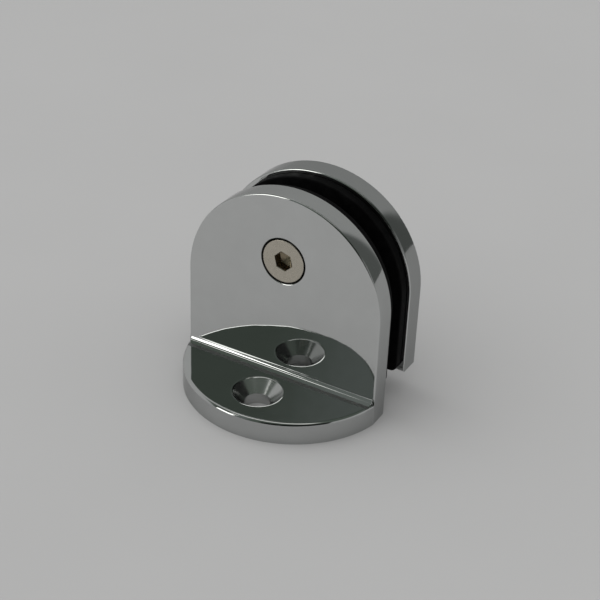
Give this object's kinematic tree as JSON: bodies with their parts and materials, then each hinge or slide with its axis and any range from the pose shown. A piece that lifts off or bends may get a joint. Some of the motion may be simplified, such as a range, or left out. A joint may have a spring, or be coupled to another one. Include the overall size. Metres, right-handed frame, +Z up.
{
  "type": "glass panel clamp",
  "caption": "D-shaped glass panel clamp with a half-disc floor flange: a polished front jaw and a loose rear jaw with rubber pads, drawn together by a countersunk hexagon socket screw.",
  "frame": {"origin": "on the mounting face of the flange, in the middle of the front jaw's face", "axes": "+X across the jaws, +Y from the front jaw towards the rear jaw along the clamp screw, +Z up from the mounting face"},
  "size_m": [0.05, 0.0405, 0.051],
  "materials": {
    "polished_casting": "mirror polished plating",
    "black_rubber": "satin moulded rubber",
    "stainless_screw": "fine turned"
  },
  "bodies": {
    "bracket": {"base_bracket": "polished_casting", "front_gasket": "black_rubber"},
    "screw": {"clamp_screw": "stainless_screw"},
    "rear_jaw": {"rear_plate": "polished_casting", "rear_gasket": "black_rubber", "glass_bush": "black_rubber"}
  },
  "joints": [
    {"name": "screw_turn", "type": "hinge", "parent": "bracket", "child": "screw", "pos_m": [0, 0, 0.035], "axis": [0, -1, 0], "range_deg": [-180, 1260]},
    {"name": "jaw_slide", "type": "slide", "parent": "bracket", "child": "rear_jaw", "axis": [0, 1, 0], "range_m": [-0.0005, 0.0035]}
  ],
  "couplings": [
    {"joint": "screw_turn", "follows": "jaw_slide", "rad_per_m": 6283.2}
  ]
}
